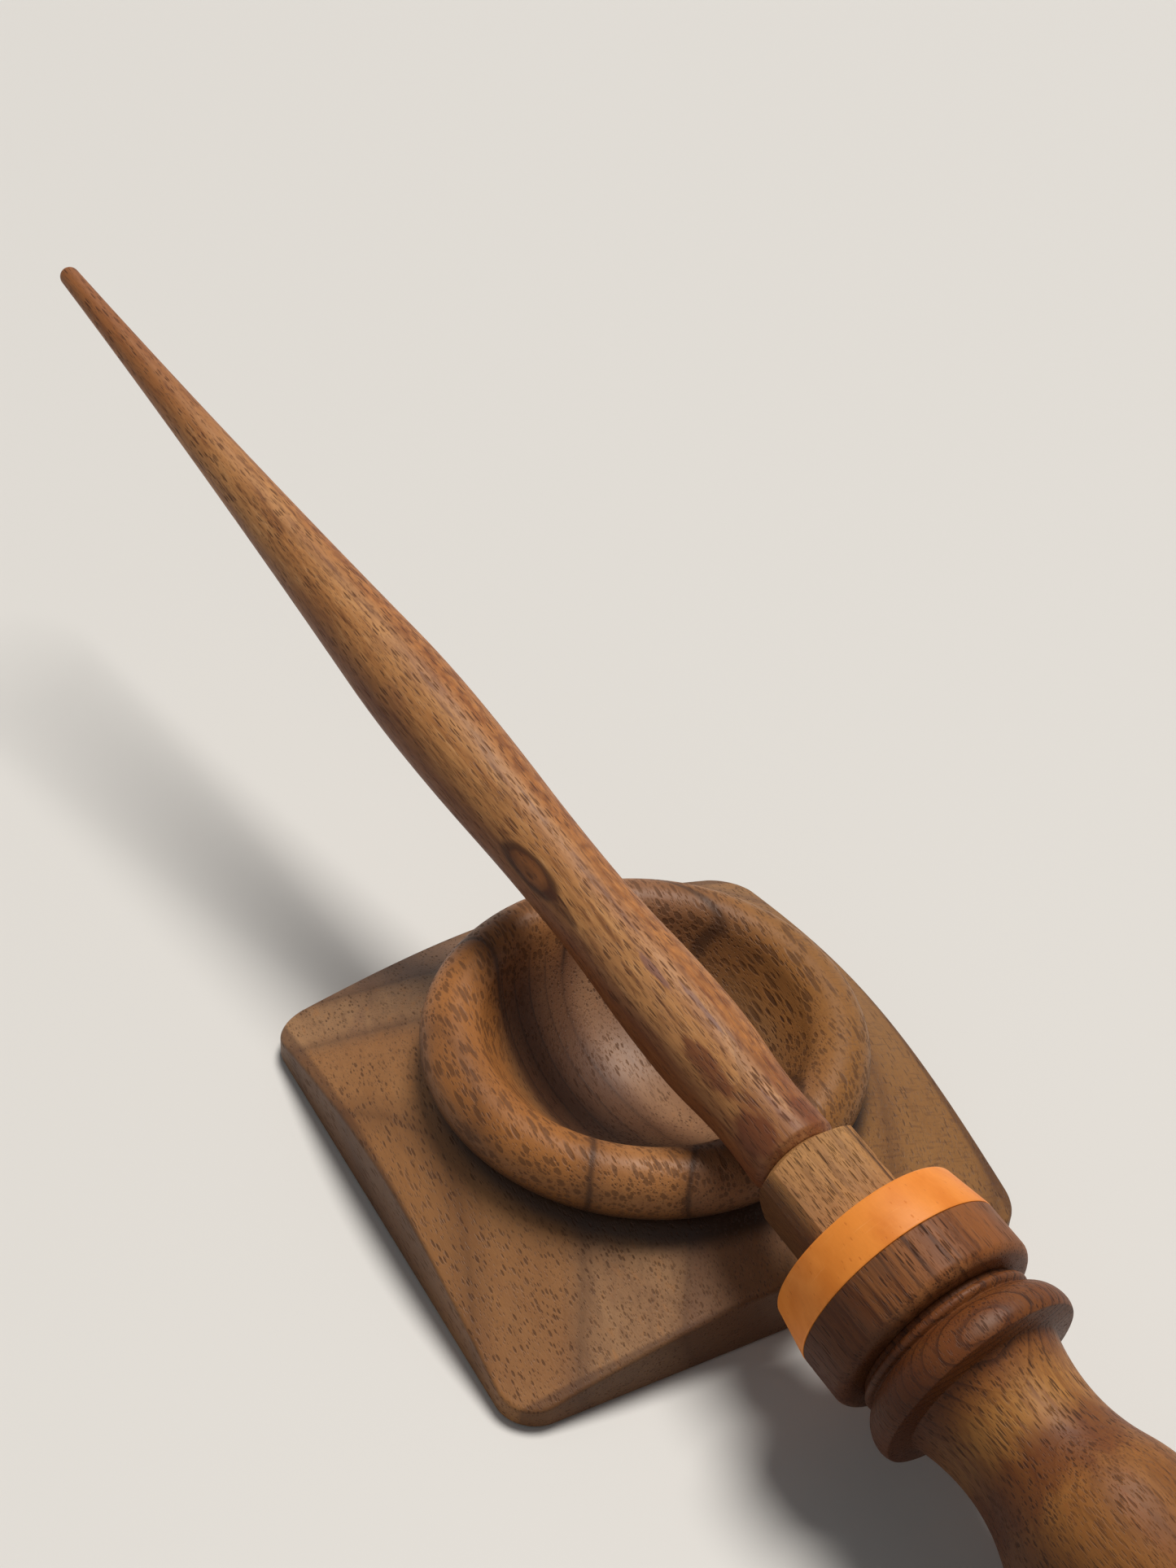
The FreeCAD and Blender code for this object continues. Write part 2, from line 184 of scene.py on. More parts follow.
class Flow:
    # a value, vector or colour on its way through a material's nodes
    shiftRatio = (1, 0.7, -1.3)    # uneven, so that no two patterns line up

    def __init__(self, tree, socket=None):
        self.tree = tree
        self.socket = socket

    def node(self, kind, settings, inputs, out=0):
        made = self.tree.nodes.new("ShaderNode" + kind)
        for setting, value in settings.items():
            setattr(made, setting, value)
        for place, value in inputs.items():
            if isinstance(value, Flow):
                self.tree.links.new(value.socket, made.inputs[place])
            else:
                made.inputs[place].default_value = value
        return Flow(self.tree, made.outputs[out])

    def maths(self, operation, *values):
        return self.node("Math", {"operation": operation}, dict(enumerate(values)))

    def __add__(self, other):
        return self.maths("ADD", self, other)

    def __sub__(self, other):
        return self.maths("SUBTRACT", self, other)

    def __rsub__(self, other):
        return self.maths("SUBTRACT", other, self)

    def __mul__(self, other):
        return self.maths("MULTIPLY", self, other)

    def __truediv__(self, other):
        return self.maths("DIVIDE", self, other)

    def __pow__(self, other):
        return self.maths("POWER", self, other)

    __radd__ = __add__
    __rmul__ = __mul__

    def rise(self, low, high):
        # 0 below low, 1 above high, smooth between; low above high turns it round
        return self.node("MapRange", {"interpolation_type": "SMOOTHSTEP"}, {0: self, 1: low, 2: high})

    def stretched(self, across, along, shift=0.0):
        # the grain's coordinates squeezed for a pattern that is long with the grain
        squeeze = (1 / across, 1 / across, 1 / along)
        sized = self.node("VectorMath", {"operation": "MULTIPLY"}, {0: self, 1: squeeze})
        offset = [shift * part for part in self.shiftRatio]
        return self.node("VectorMath", {"operation": "ADD"}, {0: sized, 1: offset})

    def towards(self, direction):
        return self.node("VectorMath", {"operation": "DOT_PRODUCT"}, {0: self, 1: direction}, out=1)

    def noise(self, detail=2.0, roughness=0.5, distortion=0.0):
        return self.node("TexNoise", {"noise_dimensions": "3D"}, {
            "Vector": self, "Scale": 1.0, "Detail": detail, "Roughness": roughness,
            "Distortion": distortion})

    def mixed(self, factor, colour):
        settings = {"data_type": "RGBA", "blend_type": "MIX", "clamp_factor": True}
        return self.node("Mix", settings, {0: factor, 6: self, 7: colour}, out=2)

    def lit(self, factor):
        return self.node("VectorMath", {"operation": "SCALE"}, {0: self, 3: factor})

    def moved(self, direction, amount):
        push = self.node("VectorMath", {"operation": "SCALE"}, {0: direction, 3: amount})
        return self.node("VectorMath", {"operation": "ADD"}, {0: self, 1: push})


def startMaterial(name, place, turn):
    # new material whose coordinates are millimetres in the timber's own frame, z along the grain
    material = bpy.data.materials.new(name)
    material.use_nodes = True
    tree = material.node_tree
    shader = next(n for n in tree.nodes if n.type == "BSDF_PRINCIPLED")
    bench = Flow(tree)
    spot = bench.node("TexCoord", {}, {}, out=3)
    grain = bench.node("Mapping", {"vector_type": "TEXTURE"}, {
        "Vector": spot, "Location": place.translation, "Rotation": turn, "Scale": (mm, mm, mm)})
    return material, shader, grain


def finishMaterial(shader, colour, roughness, height, look):
    tree = colour.tree
    tree.links.new(colour.socket, shader.inputs["Base Color"])
    tree.links.new(roughness.socket, shader.inputs["Roughness"])
    lift = {"Strength": look["relief"], "Distance": look["reliefDepth"] * mm, "Height": height}
    bump = height.node("Bump", {}, lift)
    tree.links.new(bump.socket, shader.inputs["Normal"])
    shader.inputs["Specular IOR Level"].default_value = look["gloss"]


# what all the woods here have in common; a pair of edges is where a mask starts and where it is full
timber = {
    "leastPore": 0.35, "poreEdge": 0.6, "weakestLine": 0.25, "lineFull": 0.97, "lineEnd": 0.975,
    "lateCurve": 3.0,
    "waverGrain": (30, 110), "rippleGrain": (4, 26), "cloudGrain": (11, 26), "fibreGrain": (0.22, 3.2),
    "patchGrain": (5, 12), "wearGrain": (2.5, 4),
    "broadNoise": (3.0, 0.55, 0.4), "streakNoise": (3.0, 0.6, 0.3), "cloudNoise": (3.0, 0.5, 0.8),
    "fibreNoise": (2.0, 0.6), "wearNoise": (3.0,),
    "midEdges": (0.3, 0.7), "darkEdges": (0.48, 0.72), "warmEdges": (0.45, 0.25), "veilEdges": (0.5, 0.7),
    "fineAcross": 0.55, "fineAlong": 0.5, "fineDark": 0.5, "patchEdges": (0.3, 0.62), "patchLeast": 0.4,
    "wearRough": 0.16, "poreRough": 0.2,
    "fibreRelief": 0.35, "streakRelief": 0.25, "fineRelief": 0.45, "lineRelief": 0.25,
}


def poreDashes(grain, across, along, size, shift):
    # short open pores: long cells, each with its own size
    cells = grain.stretched(across, along, shift)
    settings = {"voronoi_dimensions": "3D", "feature": "F1"}
    distance = cells.node("TexVoronoi", settings, {"Vector": cells, "Scale": 1.0, "Randomness": 1.0})
    own = Flow(grain.tree, distance.socket.node.outputs[1])
    chance = own.node("SeparateColor", {}, {0: own})
    reach = chance * size + size * timber["leastPore"]
    return (distance / reach).rise(1.0, timber["poreEdge"])


def growthLayers(depth, step, lineStart):
    # growth layers: each darkens slowly and ends in a thin dark line of its own strength
    count = depth / step
    phase = count.maths("FRACT", count)
    year = count.maths("FLOOR", count)
    chance = year.node("TexWhiteNoise", {"noise_dimensions": "1D"}, {"W": year})
    strength = chance * (1 - timber["weakestLine"]) + timber["weakestLine"]
    line = phase.rise(lineStart, timber["lineFull"]) * phase.rise(1.0, timber["lineEnd"])
    return line * strength, phase ** timber["lateCurve"] * strength


def layerDepth(grain, look):
    # how deep a place lies in the growth layers, which waver a little along the grain
    waver = grain.stretched(*timber["waverGrain"], look["seed"]).noise() - 0.5
    ripple = grain.stretched(*timber["rippleGrain"], look["seed"] + 3).noise() - 0.5
    return grain.towards(look["layerNormal"]) + waver * look["layerWaver"] + ripple * look["layerRipple"]


def groundTone(grain, look):
    # broad light and dark streaks that the growth layers and pores lie on
    seed = look["seed"]
    broad = grain.stretched(look["broadAcross"], look["broadAlong"], seed + 11)
    broad = broad.noise(*timber["broadNoise"])
    streak = grain.stretched(look["streakAcross"], look["streakAlong"], seed + 17)
    streak = streak.noise(*timber["streakNoise"])
    cloud = grain.stretched(*timber["cloudGrain"], seed + 29).noise(*timber["cloudNoise"])
    light = broad.node("RGB", {}, {})
    light.socket.default_value = look["light"]
    colour = light.mixed(broad.rise(*timber["midEdges"]), look["mid"])
    colour = colour.mixed(streak.rise(*timber["darkEdges"]) * look["streakDark"], look["dark"])
    colour = colour.mixed(streak.rise(*timber["warmEdges"]) * look["streakWarm"], look["warm"])
    colour = colour.mixed(cloud.rise(*timber["veilEdges"]) * look["veilStrength"], look["veil"])
    return colour, streak


def poredWood(shader, grain, colour, streak, line, look, extraPores=None):
    # fine fibres, open pores and the oiled finish, the same on every walnut piece
    seed, across, along = look["seed"], look["poreAcross"], look["poreAlong"]
    fibre = grain.stretched(*timber["fibreGrain"], seed + 23).noise(*timber["fibreNoise"])
    pores = poreDashes(grain, across, along, look["poreSize"], seed)
    fineAcross, fineAlong = across * timber["fineAcross"], along * timber["fineAlong"]
    finePores = poreDashes(grain, fineAcross, fineAlong, look["poreSize"], seed + 5)
    patchy = grain.stretched(*timber["patchGrain"], seed + 31).noise().rise(*timber["patchEdges"])
    pores = pores * (patchy * (1 - timber["patchLeast"]) + timber["patchLeast"])
    if extraPores:
        pores = pores.maths("MAXIMUM", pores, extraPores)
    colour = colour.lit(fibre * look["fibre"] + (1 - look["fibre"] / 2))
    colour = colour.mixed(finePores * look["poreDark"] * timber["fineDark"], look["pore"])
    colour = colour.mixed(pores * look["poreDark"], look["pore"])
    wear = grain.stretched(*timber["wearGrain"], seed + 47).noise(*timber["wearNoise"])
    leastRoughness = look["roughness"] - timber["wearRough"] / 2
    roughness = wear * timber["wearRough"] + pores * timber["poreRough"] + leastRoughness
    height = fibre * timber["fibreRelief"] + streak * timber["streakRelief"] - pores
    height = height - finePores * timber["fineRelief"] - line * timber["lineRelief"]
    finishMaterial(shader, colour, roughness, height, look)


stand = {
    "side": 80.0, "corner": 5.6, "cornerHeight": 3.2, "hollow": 240.0, "edge": 0.8, "edgeSlope": 24.0,
    "foot": 0.4, "ringRadius": 26.7, "ringHeight": 23.75, "bead": 4.75, "undercut": 60.0, "floor": 8.5,
    "sides": 192, "dishSteps": 40, "beadSteps": 40, "plateSteps": 36, "edgeSteps": 6, "cornerStep": 4.5,
    "sharp": 40,
}

standWood = {
    "seed": 4.0, "grainTurn": (-88, 0, -2),
    "light": tone(158, 119, 82), "mid": tone(134, 97, 65), "dark": tone(86, 54, 33),
    "warm": tone(160, 106, 56), "veil": tone(116, 80, 58), "line": tone(42, 24, 15),
    "pore": tone(64, 38, 22),
    "layerNormal": (1, 0.507, 0.362), "layerBend": (0, 0.0219, 0.0112), "layerWaver": 2.2,
    "layerRipple": 0.8,
    "streakAcross": 1.1, "streakAlong": 14, "streakDark": 0.32, "streakWarm": 0.4,
    "veilStrength": 0.45, "broadAcross": 12, "broadAlong": 36, "fibre": 0.3,
    "poreAcross": 0.44, "poreAlong": 2.4, "poreSize": 0.36, "poreDark": 0.66,
    # heavy lines far apart, with a shade beside each, and light ones between them
    "heavyFrom": -7.5, "heavyStep": 16.0, "heavyEdges": (0.85, 0.1), "heavyStrength": 0.2,
    "crossedEdges": (-36, -30), "crossedStrength": 0.65, "shadeEdges": (3.8, 0.0), "shadeStrength": 0.38,
    "lightStep": 3.7, "lineStart": 0.8, "lineDark": 0.75,
    "heartLine": 1.1, "plateLine": 0.04, "heartLate": 0.6, "plateLate": 0.08,
    # tones by depth in the layers, and the ring's by height
    "left": tone(138, 90, 46), "leftEdges": (-22, -27), "leftStrength": 0.6,
    "lilac": tone(120, 86, 66), "lilacFrom": (-9, -6), "lilacTo": (12, 4), "lilacStrength": 0.55,
    "olive": tone(128, 86, 38), "oliveEdges": (4, 16), "oliveStrength": 0.75,
    "tan": tone(158, 98, 44), "ringEdges": (15, 19), "tanStrength": 0.6,
    "heart": tone(76, 40, 24), "heartFrom": (-26, -22), "heartTo": (-3, -9), "heartAlong": (-24, -8),
    "dishEdges": (25, 20), "heartStrength": 0.72, "raggedGrain": (8, 18), "ragged": 12.0,
    "raggedShare": 0.25,
    "fleckGrain": (2.4, 0.4), "fleckEdges": (0.52, 0.7), "fleckFrom": (6, 20), "fleckStrength": 0.4,
    "bigPore": (0.8, 4.6, 0.5), "swirl": (18, -14, -2), "swirlEdges": (9, 2), "ringPores": 0.85,
    # painted shade: the groove under the ring, and the sawn side walls
    "paintedGrooveShade": tone(30, 15, 8), "grooveOut": (27, 29), "grooveTop": (22, 16.5), "grooveFoot": (13.4, 14.8),
    "grooveStrength": 0.9, "rim": tone(72, 45, 29), "wallShadeEdges": (39, 39.7), "rimStrength": 0.6,
    "roughness": 0.44, "gloss": 0.2, "relief": 0.55, "reliefDepth": 0.12,
}


def cutOff(point, normal):
    # cuts away all that lies beyond a plane
    bpy.ops.mesh.select_all(action="SELECT")
    bpy.ops.mesh.bisect(plane_co=point, plane_no=normal, clear_outer=True, threshold=cutReach)


def selectRim():
    bpy.ops.mesh.select_all(action="DESELECT")
    bpy.ops.mesh.select_non_manifold(
        use_wire=False, use_boundary=True, use_multi_face=False, use_non_contiguous=False, use_verts=False)


def standOutline(size):
    # dish, ring and hollow plate out to the corners, before the square is sawn
    ringRadius, bead, floorHeight = size["ringRadius"], size["bead"], size["floor"]
    ringCentre = size["ringHeight"] - bead
    outline = []
    # the dish is the arc that runs smoothly into the ring
    dishDepth = ringCentre - floorHeight
    dishBend = (ringRadius ** 2 + dishDepth ** 2 - bead ** 2) / (2 * (bead + dishDepth))
    dishTurn = math.atan2(ringRadius, dishBend - dishDepth)
    for step in range(size["dishSteps"] + 1):
        angle = dishTurn * step / size["dishSteps"]
        outline.append((dishBend * math.sin(angle), floorHeight + dishBend * (1 - math.cos(angle))))
    beadStart, beadEnd = math.pi / 2 + dishTurn, -math.radians(size["undercut"])
    for step in range(1, size["beadSteps"] + 1):
        angle = beadStart + (beadEnd - beadStart) * step / size["beadSteps"]
        outline.append((ringRadius + bead * math.cos(angle), ringCentre + bead * math.sin(angle)))
    reach = (size["side"] / 2 - size["corner"]) * math.sqrt(2) + size["corner"]
    start, end = Vector(outline[-1]), Vector((reach, size["cornerHeight"]))
    chord = end - start
    for step in range(1, size["plateSteps"] + 1):
        share = step / size["plateSteps"]
        sag = share * (1 - share) * chord.length ** 2 / (2 * size["hollow"])
        spot = start + chord * share
        outline.append((spot.x, spot.y - sag))
    return outline


def makeStand(size):
    piece = turnPiece("Stand", standOutline(size), standPlace, size["sides"])
    half = size["side"] / 2

    # saw the turned disc to its rounded square, a little inside the finished side
    slope = math.radians(size["edgeSlope"])
    inset = size["edge"] * (1 - math.sin(slope))
    shrink = (half - inset) / half
    cornerPlace = (half - size["corner"]) * shrink
    corner = size["corner"] * shrink
    bpy.ops.object.mode_set(mode="EDIT")
    for quarter in range(4):
        middle = math.radians(45 + 90 * quarter)
        postSide = math.copysign(cornerPlace, math.cos(middle))
        post = Vector((postSide, math.copysign(cornerPlace, math.sin(middle)), 0))
        for step in range(round(90 / size["cornerStep"])):
            angle = math.radians(90 * quarter + size["cornerStep"] * step)
            normal = Vector((math.cos(angle), math.sin(angle), 0))
            cutOff((post + normal * corner) * mm, normal)

    # roll the edge over, draw the wall down, break its foot and close the underside
    selectRim()
    reachBefore, dropBefore = inset, 0
    for step in range(1, size["edgeSteps"] + 1):
        angle = slope + (math.pi / 2 - slope) * step / size["edgeSteps"]
        inward = size["edge"] * (1 - math.sin(angle))
        drop = size["edge"] * (math.cos(slope) - math.cos(angle))
        grow = (half - inward) / (half - reachBefore)
        sink = (0, 0, -(drop - dropBefore) * mm)
        bpy.ops.mesh.extrude_region_move(TRANSFORM_OT_translate={"value": sink})
        bpy.ops.transform.resize(value=(grow, grow, 1), center_override=(0, 0, 0))
        reachBefore, dropBefore = inward, drop
    bpy.ops.mesh.extrude_region_move()
    bpy.ops.transform.resize(value=(1, 1, 0), center_override=(0, 0, size["foot"] * mm))
    bpy.ops.mesh.extrude_region_move(TRANSFORM_OT_translate={"value": (0, 0, -size["foot"] * mm)})
    shrink = 1 - size["foot"] / half
    bpy.ops.transform.resize(value=(shrink, shrink, 1), center_override=(0, 0, 0))
    bpy.ops.mesh.edge_face_add()
    closeMesh()
    bpy.ops.object.mode_set(mode="OBJECT")
    return piece


def standWalnut(name, look):
    # bent growth layers cross the block: a tone for each stretch, and dark heartwood in the dish
    grainTurn = Euler([math.radians(part) for part in look["grainTurn"]])
    material, shader, grain = startMaterial(name, standPlace, grainTurn)
    seed = look["seed"]
    along = grain.towards((0, 0, 1))
    depth = layerDepth(grain, look) + along * grain.towards(look["layerBend"])
    count = (depth - look["heavyFrom"]) / look["heavyStep"] + 0.5
    phase = count.maths("FRACT", count) - 0.5
    heavy = phase.maths("ABSOLUTE", phase) * look["heavyStep"]
    lightLine, lightLate = growthLayers(depth, look["lightStep"], look["lineStart"])
    colour, streak = groundTone(grain, look)
    height = grain.towards((0, -1, 0))
    ringWood = height.rise(*look["ringEdges"])
    colour = colour.mixed(depth.rise(*look["leftEdges"]) * look["leftStrength"], look["left"])
    colour = colour.mixed(ringWood * look["tanStrength"], look["tan"])
    lilac = depth.rise(*look["lilacFrom"]) * depth.rise(*look["lilacTo"])
    colour = colour.mixed(lilac * look["lilacStrength"], look["lilac"])
    colour = colour.mixed(depth.rise(*look["oliveEdges"]) * look["oliveStrength"], look["olive"])

    # the dish is cut down into the heartwood
    sideways = grain.towards((1, 0, 0))
    centred = (sideways * sideways + along * along) ** 0.5
    ragged = (grain.stretched(*look["raggedGrain"], seed + 53).noise(3.0) - 0.5) * look["ragged"]
    raggedDepth = depth + ragged * look["raggedShare"]
    heart = raggedDepth.rise(*look["heartFrom"]) * raggedDepth.rise(*look["heartTo"])
    heart = heart * (along + ragged).rise(*look["heartAlong"]) * centred.rise(*look["dishEdges"])
    colour = colour.mixed(heart * look["heartStrength"], look["heart"])
    shade = heavy.rise(*look["shadeEdges"]) * look["shadeStrength"]
    late = lightLate * (heart * look["heartLate"] + look["plateLate"])
    colour = colour.mixed(shade + late, look["dark"])
    crossed = ringWood * depth.rise(*look["crossedEdges"])
    heavyDark = crossed * look["crossedStrength"] + look["heavyStrength"]
    lightDark = heart * look["heartLine"] + look["plateLine"]
    line = heavy.rise(*look["heavyEdges"]) * heavyDark + lightLine * lightDark
    colour = colour.mixed(line * look["lineDark"], look["line"])

    flecks = grain.stretched(*look["fleckGrain"], seed + 59).noise().rise(*look["fleckEdges"])
    flecks = flecks * depth.rise(*look["fleckFrom"])
    colour = colour.mixed(flecks * look["fleckStrength"], look["dark"])
    centre = grain.node("VectorMath", {"operation": "DISTANCE"}, {0: grain, 1: look["swirl"]}, out=1)
    bigPores = poreDashes(grain, *look["bigPore"], seed + 61)
    bigPores = bigPores * (centre.rise(*look["swirlEdges"]) + ringWood * look["ringPores"])

    # painted shade in the groove under the ring's bead
    grooveShadeMask = centred.rise(*look["grooveOut"]) * height.rise(*look["grooveTop"])
    grooveShadeMask = grooveShadeMask * height.rise(*look["grooveFoot"])
    colour = colour.mixed(grooveShadeMask * look["grooveStrength"], look["paintedGrooveShade"])
    # painted shade on the sawn side walls, all round the edge
    reach = sideways.maths("MAXIMUM", sideways.maths("ABSOLUTE", sideways), along.maths("ABSOLUTE", along))
    colour = colour.mixed(reach.rise(*look["wallShadeEdges"]) * look["rimStrength"], look["rim"])
    poredWood(shader, grain, colour, streak, line, look, bigPores)
    return material


finishPiece(makeStand(stand), "stand", "stand",
            standWalnut("StandWalnut", standWood), stand["sharp"])


shaft = {
    "start": 20.6, "tenon": 4.5, "tenonEnd": -53.4, "vee": 5.4, "lip": (6.2, 1.2), "throat": (6.0, 7.4),
    "curves": [(6.9, 22.9), (6.0, 49.4), (6.8, 86.4)], "break": (6.33, 100.9), "taperHollow": 2850.0,
    "tip": (1.6, 198.4), "tipRound": 1.5, "soft": 0.3, "sides": 96,
    "lipSteps": 4, "curveSteps": 8, "breakSteps": 5, "taperSteps": 16, "tipSteps": 8, "sharp": 40,
}

shaftWood = {
    "seed": 9.0, "light": tone(182, 130, 80), "mid": tone(162, 109, 63), "dark": tone(96, 54, 29),
    "warm": tone(198, 150, 102), "veil": tone(132, 90, 66), "line": tone(60, 32, 19),
    "pore": tone(70, 40, 24),
    "layerNormal": (-0.5, -0.86, 0.03), "layerStep": 2.3, "layerWaver": 4.0, "layerRipple": 0.7,
    "lineStart": 0.8, "lineDark": 0.16, "lateDark": 0.22,
    "streakAcross": 0.7, "streakAlong": 8, "streakDark": 0.75, "streakWarm": 0.6,
    "veilStrength": 0.3, "broadAcross": 3, "broadAlong": 26, "fibre": 0.55,
    "poreAcross": 0.38, "poreAlong": 3.2, "poreSize": 0.38, "poreDark": 0.74,
    "flank": (0.88, -0.47, 0), "flankEdges": (2.4, 4.6), "flankStrength": 0.75,
    "flankTone": tone(154, 92, 44), "flankTint": 0.7,
    # curly figure on the flank
    "curlGrain": (1.1, 2.0), "curlBend": (3, 3), "curlReach": 0.9, "curlSoftness": 0.3,
    "curlDark": tone(112, 58, 25), "curlDarkEdges": (0.45, 0.8), "curlDarkStrength": 0.85,
    "curlLight": tone(184, 116, 58), "curlLightEdges": (0.42, 0.1), "curlLightStrength": 0.6,
    # painted shade on the far side
    "back": (-0.86, 0.5, 0), "paintedShadeTone": tone(92, 44, 22), "shadeSideEdges": (2.2, 5.6), "shadeSideStrength": 0.75,
    # knots and marks: azimuth, station, width, length and lean
    "knot": (-153, 75.6, 1.75, 5.4, 0.6), "knotCore": tone(118, 68, 36), "coreStrength": 0.8,
    "knotGrain": (2, 5), "knotRagged": 0.4, "coreEdges": (1.0, 0.8), "rimFrom": (0.7, 0.92),
    "rimTo": (1.35, 1.02), "rimStrength": 0.85, "knotRings": 11.0, "ringStrength": 0.3,
    "partingReach": 0.5, "partingPull": -0.6, "markGrain": (0.9, 4), "markRagged": 1.1,
    "markEdges": (1.0, 0.55),
    "marks": [
        {"place": (-151, 68, 0.8, 5.0), "strength": 0.7, "tone": tone(74, 38, 22)},
        {"place": (-110, 51.5, 0.7, 4.4), "strength": 0.75, "tone": tone(112, 76, 70)},
        {"place": (-95, 44, 0.5, 6.0), "strength": 0.6, "tone": tone(110, 72, 62)},
        {"place": (-133, 36, 1.9, 6.5), "strength": 0.75, "tone": tone(96, 48, 30)},
        {"place": (-142, 25, 3.0, 4.5), "strength": 0.75, "tone": tone(88, 42, 26)},
        {"place": (-70, 24, 2.2, 3.5), "strength": 0.6, "tone": tone(100, 52, 30)},
    ],
    "blush": tone(104, 54, 32), "blushEdges": (36, 24), "blushStrength": 0.5,
    "wanderGrain": (2.2, 9), "wander": 34.0,
    "tipBlush": tone(132, 78, 42), "tipEdges": (150, 205), "tipStrength": 0.7,
    "roughness": 0.46, "gloss": 0.18, "relief": 0.5, "reliefDepth": 0.1,
}

spotEdges = (1.0, 3.0)    # how far round the stick a knot or mark reaches before it fades


def makeShaft(size):
    outline = [(0, size["tenonEnd"]), (size["tenon"], size["tenonEnd"]), (size["tenon"], 0),
               (size["vee"], 0), size["lip"]]
    ogeeTo(outline, *size["throat"], size["lipSteps"])
    for radius, station in size["curves"]:
        ogeeTo(outline, radius, station, size["curveSteps"])
    bulgeTo(outline, *size["break"], "start", size["breakSteps"])
    hollowTo(outline, *size["tip"], size["taperHollow"], size["taperSteps"])
    capTo(outline, size["tip"][1] + size["tipRound"], size["tipSteps"])
    place = wandPlace @ Matrix.Translation((0, 0, size["start"] * mm))
    return turnPiece("Shaft", softened(outline, size["soft"]), place, size["sides"])


def spotOn(grain, azimuth, station, width, length, lean=0.0):
    # an oval place on one side of a stick: how far out in it, how much this side faces it, how far aside
    angle = math.radians(azimuth)
    aside = grain.towards((-math.sin(angle), math.cos(angle), 0))
    along = grain.towards((0, 0, 1)) - station + aside * lean
    reach = ((aside / width) ** 2.0 + (along / length) ** 2.0) ** 0.5
    facing = grain.towards((math.cos(angle), math.sin(angle), 0)).rise(*spotEdges)
    return reach, facing, aside


def shaftWalnut(name, look):
    # golden stick with a small knot, a curly warm flank and a redder throat
    material, shader, straight = startMaterial(name, wandPlace, wandTurn)
    seed = look["seed"]
    station = straight.towards((0, 0, 1))
    reach, facing, aside = spotOn(straight, *look["knot"])
    # the fibres part round the knot
    angle = math.radians(look["knot"][0])
    parting = (reach * look["partingReach"]).rise(1.0, 0.0) * facing * aside * look["partingPull"]
    grain = straight.moved((-math.sin(angle), math.cos(angle), 0), parting)

    line, late = growthLayers(layerDepth(grain, look), look["layerStep"], look["lineStart"])
    colour, streak = groundTone(grain, look)
    colour = colour.mixed(late * look["lateDark"], look["dark"])
    colour = colour.mixed(line * look["lineDark"], look["line"])

    flank = grain.towards(look["flank"]).rise(*look["flankEdges"])
    curl = grain.stretched(*look["curlGrain"], seed + 37)
    curl = curl.moved((1, 1, 0), grain.stretched(*look["curlBend"], seed + 41).noise() * look["curlReach"])
    scaleShape = {"Vector": curl, "Scale": 1.0, "Smoothness": look["curlSoftness"]}
    scales = curl.node("TexVoronoi", {"feature": "SMOOTH_F1"}, scaleShape)
    curlDark = scales.rise(*look["curlDarkEdges"]) * look["curlDarkStrength"]
    curlLight = scales.rise(*look["curlLightEdges"]) * look["curlLightStrength"]
    flankColour = colour.mixed(look["flankTint"], look["flankTone"])
    flankColour = flankColour.mixed(curlDark, look["curlDark"]).mixed(curlLight, look["curlLight"])
    colour = colour.mixed(flank * look["flankStrength"], flankColour)
    # painted shade: the far side is darkened
    back = grain.towards(look["back"]).rise(*look["shadeSideEdges"])
    colour = colour.mixed(back * look["shadeSideStrength"], look["paintedShadeTone"])

    eye = straight.stretched(*look["knotGrain"], seed).noise() * look["knotRagged"] + reach
    eye = eye - look["knotRagged"] / 2
    core = eye.rise(*look["coreEdges"]) * facing
    rim = eye.rise(*look["rimFrom"]) * eye.rise(*look["rimTo"]) * facing
    ringCount = eye * look["knotRings"]
    rings = ringCount.maths("SINE", ringCount) * 0.5 + 0.5
    colour = colour.mixed(core * look["coreStrength"], look["knotCore"])
    colour = colour.mixed(core * rings * look["ringStrength"] + rim * look["rimStrength"], look["line"])
    for mark in look["marks"]:
        reach, facing = spotOn(grain, *mark["place"])[:2]
        frayed = grain.stretched(*look["markGrain"], mark["place"][1]).noise(3.0) * look["markRagged"]
        inside = (frayed + reach - look["markRagged"] / 2).rise(*look["markEdges"])
        colour = colour.mixed(inside * facing * mark["strength"], mark["tone"])

    wander = (grain.stretched(*look["wanderGrain"], seed + 43).noise(3.0) - 0.5) * look["wander"]
    blush = (station + wander).rise(*look["blushEdges"])
    colour = colour.mixed(blush * look["blushStrength"], look["blush"])
    colour = colour.mixed(station.rise(*look["tipEdges"]) * look["tipStrength"], look["tipBlush"])
    poredWood(shader, grain, colour, streak, line, look)
    return material


finishPiece(makeShaft(shaft), "wand", "shaft",
            shaftWalnut("ShaftWalnut", shaftWood), shaft["sharp"])


collar = {
    "start": 7.0, "length": 13.6, "side": 14.0, "chamfer": 1.9, "roll": -17.5, "shoulder": 2.4,
    "bore": 4.55, "neck": 5.4, "waste": 12.0, "soft": 0.22, "softSegments": 3, "softAngle": 30,
    "sides": 96, "sharp": 35,
}

